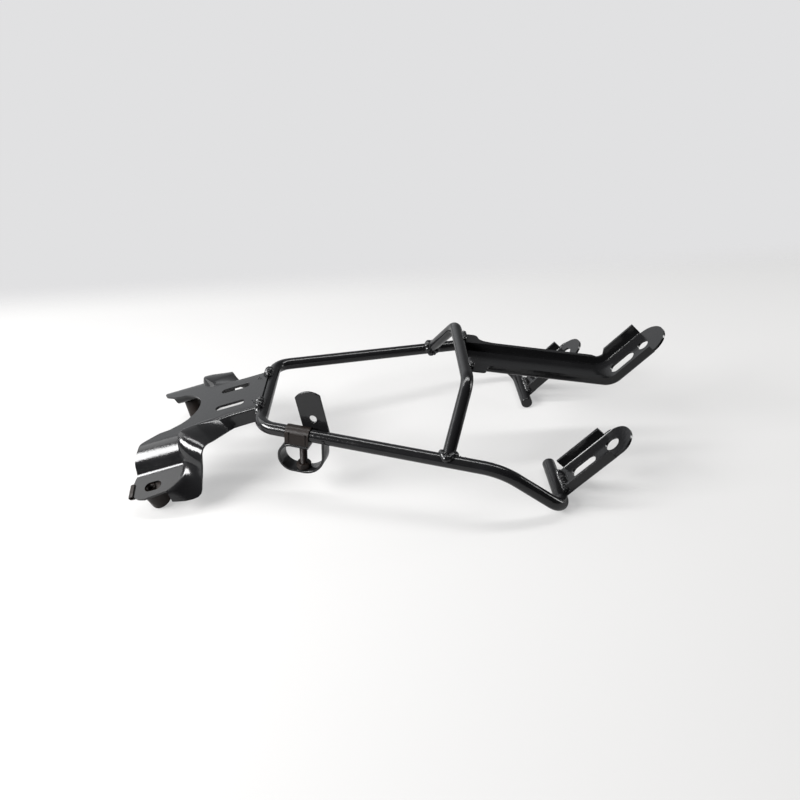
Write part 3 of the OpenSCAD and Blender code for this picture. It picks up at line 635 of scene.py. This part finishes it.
def rowPoints(v, edge):
    # one row of the half plate from its front edge to the fold, with each point's place along the fold
    if v <= rowsV[-1] + 0.01:
        front = -plate["throatX"] - plate["throatR"] + math.sqrt(plate["throatR"] ** 2 - v ** 2)
        rear, s, vRear, stops = skirtFold[neckEnd][0], float(neckEnd), v, neckStops[-2::-1]
    else:
        s = stationAt(v)
        start = foldStation(s)[0]
        square = plate["squareV"]
        longer = (plate["cornerV"] - square) / (lastV - square)
        stretch = v if v < square else square + (v - square) * longer
        front, rear, vRear, stops = linearAt(edge, stretch), start.x, start.y, []
        v = stretch
    points = [(front + (rear - front) * i / columns, v + (vRear - v) * i / columns, s)
              for i in range(columns + 1)]
    points += [(foldStation(stop)[0].x, vRear, stop) for stop in stops]
    return points


def halfSkin(side):
    # top face of one half: rows over the plate, then the fold and the skirt down to its rim
    bm = bmesh.new()
    place = bm.verts.layers.float.new("station")    # how far along the folded edge a vertex lies
    column = bm.verts.layers.int.new("column")
    edge = frontEdge(side)
    for n, v in enumerate(rowsV + wingRows):
        points = rowPoints(v, edge)
        if n == 0:
            verts = [bm.verts.new((0, 0, 0)) for _ in points]
            for i, vert in enumerate(verts):
                vert[column] = i
            edges = [bm.edges.new(pair) for pair in zip(verts, verts[1:])]
        else:
            keep = [e for e in edges if max(w[column] for w in e.verts) < len(points)]
            made = bmesh.ops.extrude_edge_only(bm, edges=keep)["geom"]
            verts, edges = vertsOf(made), edgesOf(made)
        for vert in verts:
            x, y, s = points[vert[column]]
            vert.co = (x, y, wingHeight(y))
            vert[place] = s if vert[column] >= columns else -1
    rim = [e for e in bm.edges if e.is_boundary and all(w[place] >= 0 for w in e.verts)
           and all(w.co.y > rowsV[-1] - 0.01 for w in e.verts)
           and not (abs(e.verts[0][place]) < 0.01 and abs(e.verts[1][place]) < 0.01)]
    foldSteps = plate["foldSteps"]
    for step in range(1, 2 * foldSteps + 1):
        made = bmesh.ops.extrude_edge_only(bm, edges=rim)["geom"]
        rim = edgesOf(made)
        for vert in vertsOf(made):
            start, fold, low = foldStation(vert[place])
            a = Vector((start.x, start.y, wingHeight(start.y)))
            b = Vector((fold.x, fold.y, wingHeight(fold.y)))
            c = b + (low - b).normalized() * min(plate["fold"], (low - b).length / 2)
            t = step / foldSteps
            vert.co = (1 - t) ** 2 * a + 2 * t * (1 - t) * b + t ** 2 * c if t <= 1 else c.lerp(low, t - 1)
            # the rear corner stands up as a round lobe
            near = max(0, 1 - ((vert[place] - plate["crestAt"]) / plate["crestSpan"]) ** 2)
            swell = math.sin(math.pi * step / (2 * foldSteps)) ** 1.1
            vert.co += Vector(plate["crestLean"]) * (plate["crest"] * near ** 2) * swell
    bmesh.ops.scale(bm, verts=bm.verts, vec=(1, side, 1))
    half = bpy.data.meshes.new("half")
    bm.to_mesh(half)
    bm.free()
    return half


bm = bmesh.new()
for side in (-1, 1):
    halfMesh = halfSkin(side)
    bm.from_mesh(halfMesh)
    bpy.data.meshes.remove(halfMesh)
bmesh.ops.remove_doubles(bm, verts=bm.verts, dist=0.01)
bmesh.ops.recalc_face_normals(bm, faces=bm.faces)
if sum(f.normal.z * f.calc_area() for f in bm.faces) < 0:
    bmesh.ops.reverse_faces(bm, faces=bm.faces)
mesh = bpy.data.meshes.new("skin")
bm.to_mesh(mesh)
bm.free()
skin = bpy.data.objects.new("skin", mesh)
scene.collection.objects.link(skin)
sheet = skin.modifiers.new("sheet", "SOLIDIFY")
sheet.thickness, sheet.offset = plate["sheet"], -1
sheet.use_even_offset = sheet.use_quality_normals = True
bm = bmesh.new()
bm.from_object(skin, bpy.context.evaluated_depsgraph_get())
bpy.data.objects.remove(skin)
bpy.data.meshes.remove(mesh)


def footPlace(side):
    v = plate["footSlotV"]
    return platePlace @ frameAt((-plate["footSlotX"], side * v, wingHeight(v)), 0, -side * plate["footA"])


bmesh.ops.transform(bm, matrix=platePlace, verts=bm.verts)
cutters = [slotCutter(platePlace @ shift(-plate["neckSlotX"], side * plate["neckSlotGap"] / 2, 0),
                      plate["neckSlotL"], plate["neckSlotW"]) for side in (-1, 1)]
cutters += [slotCutter(footPlace(side), plate["footSlotL"], plate["footSlotW"], 8) for side in (-1, 1)]
cutters.append(rodCutter((0, -80, hoop["frontZ"]), (0, 80, hoop["frontZ"]), hoop["rod"]))
bm = combine(bm, [], cutters)
finishPiece("neckPlate", bm, powderCoat, ["neck_plate"], degrees=28, edgeRound=0.3)


def firstRing(bm, middle, sides):
    verts = [bm.verts.new(middle) for _ in range(sides)]
    return [bm.edges.new((verts[i - 1], verts[i])) for i in range(sides)], verts


def nextRing(bm, edges, verts):
    # extrudes a ring and lists its new vertices in the order of the old ones
    index = {vert: i for i, vert in enumerate(verts)}
    made = bmesh.ops.extrude_edge_only(bm, edges=edges)["geom"]
    order = {}
    for vert in vertsOf(made):
        below = [e.other_vert(vert) for e in vert.link_edges if e.other_vert(vert) in index]
        order[index[below[0]]] = vert
    return edgesOf(made), [order[i] for i in range(len(verts))]


def threadWall(bm, radius, depth, pitch, low, high, sides=36):
    # open tube with a cut thread: each point's depth follows the helix; both ends run out smooth
    rows = max(8, round((high - low) / pitch * 6))
    edges, verts = firstRing(bm, (0, 0, 0), sides)
    start = edges
    for n in range(rows + 1):
        z = low + (high - low) * n / rows
        fade = min(1, (z - low) / pitch, (high - z) / pitch)
        if n:
            edges, verts = nextRing(bm, edges, verts)
        for i, vert in enumerate(verts):
            a = math.tau * i / sides
            phase = (z / pitch - i / sides) % 1
            r = radius - depth * fade * min(1, 1.25 * abs(2 * phase - 1))
            vert.co = (r * math.cos(a), r * math.sin(a), z)
    return start, edges


def turnedOn(bm, ring, steps):
    # carries a ring about the z axis through pairs of radius and height
    for r, z in steps:
        made = bmesh.ops.extrude_edge_only(bm, edges=ring)["geom"]
        ring = edgesOf(made)
        for vert in vertsOf(made):
            away = Vector((vert.co.x, vert.co.y)).normalized()
            vert.co = (away.x * r, away.y * r, z)
    return ring


def strap(path, radii, width, thick, across, rounding=0.35):
    # flat strip along a path: its width lies along the across direction
    bm = bmesh.new()
    along = (Vector(path[1]) - Vector(path[0])).normalized()
    side = Vector(across).normalized() * width / 2
    up = along.cross(Vector(across).normalized()) * thick / 2
    start = Vector(path[0])
    verts = [bm.verts.new(start + side * a + up * b) for a, b in ((-1, -1), (1, -1), (1, 1), (-1, 1))]
    for i in range(4):
        bm.edges.new((verts[i - 1], verts[i]))
    roundOff(bm, verts, rounding, 3)
    first = bm.edges[:]
    last = sweepEdges(bm, first, path, radii, steps=12)
    closeRings(bm, first, last)
    return bm


ripples = {"sides": 16, "perPitch": 7, "body": 0.86, "uneven": 0.22, "roundness": 0.7}


def bead(points, radius, pitch=2.6, lumps=0.16, seed=0.0, closed=False):
    # weld metal laid along a line: overlapping ripples, a little uneven, with rounded ends
    spots = [Vector(p) for p in points]
    lengths = [0.0]
    for a, b in zip(spots, spots[1:]):
        lengths.append(lengths[-1] + (b - a).length)
    total = lengths[-1]
    count = max(12, round(total / pitch * ripples["perPitch"]))
    sides = ripples["sides"]
    bm = bmesh.new()
    edges, verts = firstRing(bm, spots[0], sides)
    start = edges
    for n in range(count + 1):
        d = total * n / count
        k = max(i for i in range(len(lengths) - 1) if lengths[i] <= d + 1e-6)
        share = (d - lengths[k]) / max(1e-6, lengths[k + 1] - lengths[k])
        middle = spots[k].lerp(spots[k + 1], share)
        ahead = spots[min(len(spots) - 1, k + 2)] - spots[k]
        ahead = ahead.lerp(spots[k + 1] - spots[max(0, k - 1)], 1 - share).normalized()
        across = ahead.orthogonal() if n == 0 else across - ahead * across.dot(ahead)
        across.normalize()
        other = ahead.cross(across)
        ripple = abs(math.sin(math.pi * d / pitch)) ** ripples["roundness"]
        ends = min(1, (d + 0.05) / radius, (total - d + 0.05) / radius)
        taper = 1.0 if closed else math.sqrt(max(0.02, ends))
        if n:
            edges, verts = nextRing(bm, edges, verts)
        for i, vert in enumerate(verts):
            a = math.tau * i / sides
            way = across * math.cos(a) + other * math.sin(a)
            uneven = noise.noise(middle * 0.35 + way * 0.8 + Vector((seed, 0, 0)))
            thickness = ripples["body"] + lumps * ripple + ripples["uneven"] * uneven
            vert.co = middle + way * radius * taper * thickness
    if not closed:
        closeRings(bm, start, edges)
    return bm


print("welds")
weld = {
    "neck": 3.5, "neckLumps": 0.26, "foot": 2.6, "footLumps": 0.24, "footPitch": 2.9, "ear": 2.6,
    "bracket": 3.0, "bracketLumps": 0.28, "clearOfFoot": 8,
}
# line of the neck seam on the plate: x, v past the neck's edge, w
neckSeam = [(-2.2, -12, 0.0), (-2.0, -5, 0.3), (-2.4, -1, -0.2), (-3.6, 0.2, -2.6), (-4.6, 0.2, -6),
            (-5.0, 0.1, -9.5)]


def spatter(bm, spots, seed):
    # drops that froze beside the seam, sunk in the sheet by half
    for i, spot in enumerate(spots):
        size = 0.35 + 0.7 * abs(noise.noise(Vector((i * 2.1, seed, 0.5))))
        bmesh.ops.create_icosphere(bm, subdivisions=2, radius=size, matrix=Matrix.Translation(spot))


def scattered(count, low, high, seed):
    # uneven spots in a box
    return [Vector([a + (b - a) * ((math.sin(seed + 12.9 * i + 78.2 * k) * 43758.5) % 1)
                    for k, (a, b) in enumerate(zip(low, high))]) for i in range(count)]


def finishWeld(bm, word, kind):
    finishPiece(word + kind + "Weld", bm, weldCoat, [f"{word}_{kind.lower()}_weld"], degrees=60)


def footRing(foot, axis, rail):
    # where the arch's round surface meets the side rod, all the way round
    u = axis.orthogonal().normalized()
    w = axis.cross(u)
    ring = []
    for i in range(41):
        a = math.tau * i / 40
        base = (arch["rod"] / 2 + 0.3) * (u * math.cos(a) + w * math.sin(a))
        q = base - rail * base.dot(rail)
        d = axis - rail * axis.dot(rail)
        slope, gap = q.dot(d), q.length_squared - (hoop["rod"] / 2) ** 2
        root = max(0, slope ** 2 - d.length_squared * gap)
        ring.append(foot + base + axis * ((-slope + math.sqrt(root)) / d.length_squared))
    return ring


for side, word in ((-1, "left"), (1, "right")):
    v = plate["neckV"]
    seam = [platePlace @ Vector((x, side * (v + past), w)) for x, past, w in neckSeam]
    bm = bead(seam, weld["neck"], lumps=weld["neckLumps"], seed=side * 3.1)
    drops = scattered(7, (-12, side * (v - 14), 0), (-5.5, side * (v - 5), 0), seed=side * 2.0)
    spatter(bm, [platePlace @ p for p in drops], seed=1.5)
    finishWeld(bm, word, "Neck")

    foot, corner = (Vector((x, side * y, z)) for x, y, z in archHalf)
    axis = (corner - foot).normalized()
    rail = (Vector(sideRodAt(1)) - Vector(sideRodAt(0))).normalized()
    rail.y *= side
    bm = bead(footRing(foot, axis, rail), weld["foot"], pitch=weld["footPitch"], lumps=weld["footLumps"],
              seed=side * 5.3, closed=True)
    upward = (axis - rail * axis.dot(rail)).normalized()
    drops = scattered(6, (-15, 0, 0), (15, 0, 0), seed=side * 3.0)
    drops = [foot + rail * p.x + upward * hoop["rod"] / 2 for p in drops if abs(p.x) > weld["clearOfFoot"]]
    spatter(bm, drops, seed=2.5)
    finishWeld(bm, word, "Arch")

    y0, y1 = tail["midW"] / 2 - 1, tail["midW"] / 2 + tail["earReach"] - 1
    seamX = arch["topX"] + arch["rod"] / 2 - 0.2
    seam = [(seamX + 0.3 * (i % 2), side * (y0 + (y1 - y0) * i / 4), arch["topZ"] + 2.0) for i in range(5)]
    finishWeld(bead(seam, weld["ear"], seed=side * 7.7), word, "Ear")

    place = bracketPlace(side)
    seam = [place @ Vector((5.0, y, tail["sideWebW"] - 0.6)) for y in (-13.5, -7, 0, 7, 13.5)]
    bm = bead(seam, weld["bracket"], lumps=weld["bracketLumps"], seed=side * 9.2)
    drops = scattered(9, (8, -12, tail["sheet"]), (13, 12, tail["sheet"]), seed=side * 4.0)
    spatter(bm, [place @ p for p in drops], seed=3.5)
    finishWeld(bm, word, "Bracket")

print("captive nuts and clips")
nut = {"outer": 16.0, "bore": 6.8, "pitch": 1.25, "thread": 0.62, "collar": 8.4, "shift": 2.7, "chamfer": 1.1}
clip = {"sheet": 1.2, "width": 12.0, "edgeX": 103.0, "gap": 0.8, "back": 5.0, "lip": 3.0, "fold": 1.6}
for side, word in ((-1, "left"), (1, "right")):
    place = footPlace(side)
    onNut = place @ shift(-nut["shift"], 0, 0)
    spot = onNut @ Vector((0, 0, 0))
    tilt = math.cos(math.radians(plate["footA"])) * math.cos(math.radians(plate["slope"]))
    depth = (spot.z - nut["outer"] / 2 * math.sqrt(1 - tilt ** 2)) / tilt
    top, c = -plate["sheet"] - clip["sheet"], nut["chamfer"]
    boreR, outerR, collar = nut["bore"] / 2, nut["outer"] / 2, nut["collar"] / 2
    bm = bmesh.new()
    below, above = threadWall(bm, boreR + nut["thread"], nut["thread"], nut["pitch"], -depth + 0.8, -0.8)
    # the body's outline goes on from the thread's two ends
    seat = turnedOn(bm, below, [(boreR + 0.95, -depth), (outerR - c, -depth), (outerR, -depth + c * 0.6),
                                (outerR, top - 0.5), (outerR - 0.5, top)])
    neck = turnedOn(bm, above, [(boreR + 0.5, -0.1), (collar - 0.25, 0), (collar, -0.3), (collar, top)])
    bmesh.ops.bridge_loops(bm, edges=seat + neck)
    bmesh.ops.transform(bm, matrix=onNut, verts=bm.verts)
    finishPiece(word + "CaptiveNut", bm, blackZinc, [word + "_captive_nut"], degrees=38)

    t = clip["sheet"]
    front = -clip["edgeX"] - footReach[side] + plate["footSlotX"] - clip["gap"]
    low, high = -plate["sheet"] - t / 2, t / 2
    steps = ((clip["back"], low), (front - t / 2, low), (front - t / 2, high), (front + clip["lip"], high))
    path = [place @ Vector((x, 0, z)) for x, z in steps]
    across = place.to_3x3() @ Vector((0, 1, 0))
    bm = strap(path, (clip["fold"], clip["fold"] - 0.05), clip["width"], t, across, rounding=0.3)
    bm = combine(bm, [], [slotCutter(onNut, nut["collar"], nut["collar"])])
    finishPiece(word + "SpringClip", bm, blackZinc, [word + "_spring_clip"])

print("rod clamp")
clamp = {
    "x": 31.0, "strapW": 12.0, "sheet": 2.0, "saddleT": 1.2, "saddleL": 19.0, "saddleR": 1.2, "drop": 7.4,
    "foldX": 6.6, "foldW": 1.5, "foldT": 0.7, "tabX": 11.5, "tabLean": 13.0, "tabW": 20.5, "tabH": 34.0,
    "tabEndR": 15.0, "holeD": 6.0, "holeH": 11.0, "loopW": 34.0, "loopR": 9.5, "loopX": 3.0, "loopEnd": 6.0,
    "loopBottom": 30.0, "rearOpen": 7.5, "boltD": 6.0, "boltThread": 0.5, "boltPitch": 1.0,
    "nutFlats": 10.0, "nutH": 5.0,
}
along = Vector(sideRodAt(1)) - Vector(sideRodAt(0))
spot = sideRodAt(clamp["x"])
pitchUp = math.degrees(math.atan2(along.z, math.hypot(along.x, along.y)))
clampPlace = (Matrix.Translation((spot[0], -spot[1], spot[2])) @ rotation(-pitchUp, "Y")
              @ Matrix.Rotation(-math.atan2(along.y, along.x), 4, "Z"))


def arcPoints(middle, radius, start, stop, steps):
    angles = [math.radians(start + (stop - start) * i / steps) for i in range(steps + 1)]
    return [(middle[0] + radius * math.cos(a), middle[1] + radius * math.sin(a)) for a in angles]


wide = hoop["rod"] / 2 + clamp["saddleT"]
soft = clamp["saddleR"]
outline = arcPoints((0, 0), wide, 180, 0, 22)
outline += arcPoints((wide - soft, -clamp["drop"] + soft), soft, 0, -90, 4)
outline += arcPoints((soft - wide, -clamp["drop"] + soft), soft, -90, -180, 4)
turnUpright = rotation(90, "Z") @ rotation(90, "X")
bm = extruded(outline, clampPlace @ shift(-clamp["saddleL"] / 2, 0, 0) @ turnUpright, clamp["saddleL"])
ahead, behind = clampPlace @ Vector((-40, 0, 0)), clampPlace @ Vector((40, 0, 0))
alongRod, acrossRod = clampPlace.to_3x3() @ Vector((1, 0, 0)), clampPlace.to_3x3() @ Vector((0, 1, 0))
folds = []
for x in (-clamp["foldX"], clamp["foldX"]):
    path = [clampPlace @ Vector((x, -wide - 0.1, z)) for z in (3.4, 1.6 - clamp["drop"])]
    folds.append(strap(path, (), clamp["foldW"], clamp["foldT"], alongRod, rounding=0.3))
bm = combine(bm, folds, [rodCutter(ahead, behind, hoop["rod"] + 0.05)])
finishPiece("clampSaddle", bm, blackZinc, ["clamp_saddle"], edgeRound=0.35)

upright = (clampPlace @ shift(clamp["tabX"], wide + clamp["sheet"], 0) @
           rotation(-clamp["tabLean"], "Y") @ rotation(90, "X"))
spread = math.degrees(math.asin(clamp["tabW"] / 2 / clamp["tabEndR"]))
halfW = clamp["tabW"] / 2
outline = [(halfW, 1 - clamp["drop"]), (halfW, 0)]
outline += arcPoints((0, clamp["tabH"] - clamp["tabEndR"]), clamp["tabEndR"], 90 - spread, 90 + spread, 16)
outline += [(-halfW, 0), (-halfW, 1 - clamp["drop"]), (1 - halfW, -clamp["drop"]),
            (halfW - 1, -clamp["drop"])]
bm = extruded(outline, upright, clamp["sheet"])
bm = combine(bm, [], [slotCutter(upright @ shift(0, clamp["holeH"], 1), clamp["holeD"], clamp["holeD"])])
finishPiece("clampTab", bm, powderCoat, ["clamp_tab"], edgeRound=0.45)

t = clamp["sheet"]
x0, x1 = clamp["loopX"] - clamp["loopW"] / 2 - t / 2, clamp["loopX"] + clamp["loopW"] / 2 + t / 2
low, high = -clamp["loopBottom"] - t / 2, -clamp["drop"] - t / 2
steps = ((clamp["loopX"] + clamp["loopEnd"], high), (x0, high), (x0, low), (x1, low), (x1, 0.5))
path = [clampPlace @ Vector((x, 0, z)) for x, z in steps]
bends = [clamp["loopR"] + t / 2 - 0.02, clamp["loopR"] + t / 2, clamp["loopR"] + clamp["rearOpen"]]
bm = strap(path, bends, clamp["strapW"], t, acrossRod, rounding=0.5)
onBolt = clampPlace @ shift(clamp["loopX"], 0, 0)
boltHole = rodCutter(onBolt @ Vector((0, 0, -40)), onBolt @ Vector((0, 0, -6)), clamp["boltD"] + 0.2)
bm = combine(bm, [], [boltHole, rodCutter(ahead, behind, hoop["rod"])])
finishPiece("clampLoop", bm, powderCoat, ["clamp_loop"], degrees=40)

bm = bmesh.new()
foot, top, boltR = -clamp["loopBottom"] - t, -clamp["drop"], clamp["boltD"] / 2
below, above = threadWall(bm, boltR, clamp["boltThread"], clamp["boltPitch"], foot + 0.6, top - 1.2, sides=32)
closeRings(bm, turnedOn(bm, below, [(boltR - 0.6, foot)]))
closeRings(bm, turnedOn(bm, above, [(boltR, top)]))
bmesh.ops.transform(bm, matrix=onBolt, verts=bm.verts)
finishPiece("clampBolt", bm, blackZinc, ["clamp_bolt"], degrees=45)


def hexNut(flats, height, bore, place):
    # hexagon with both faces turned down at the corners, and a chamfered bore
    bm = bmesh.new()
    inner, lead, rim = bore / 2, 0.5, flats / 2 - 0.3
    slant = math.radians(30)
    levels = (0.15, 0.35, 0.6, 0.9)
    rows = [(inner, lead), (inner + lead, 0), (rim, 0)] + [(None, h) for h in levels]
    rows += [(None, height - h) for h in reversed(levels)]
    rows += [(rim, height), (inner + lead, height), (inner, height - lead)]
    sides = 72
    grid = []
    for r, z in rows:
        ring = []
        for i in range(sides):
            a = math.tau * i / sides
            flat = flats / 2 / math.cos((a + slant) % math.radians(60) - slant)
            cone = rim + min(z, height - z) / math.tan(slant)
            reach = r if r is not None else min(flat, cone)
            ring.append(bm.verts.new((reach * math.cos(a), reach * math.sin(a), z)))
        grid.append(ring)
    for a, b in zip(grid, grid[1:] + grid[:1]):
        for i in range(sides):
            bm.faces.new((a[i - 1], a[i], b[i], b[i - 1]))
    bmesh.ops.transform(bm, matrix=place, verts=bm.verts)
    return bm


nutPlace = onBolt @ shift(0, 0, -clamp["loopBottom"])
bm = hexNut(clamp["nutFlats"], clamp["nutH"], clamp["boltD"] + 0.1, nutPlace)
finishPiece("clampNut", bm, blackZinc, ["clamp_nut"], degrees=34)
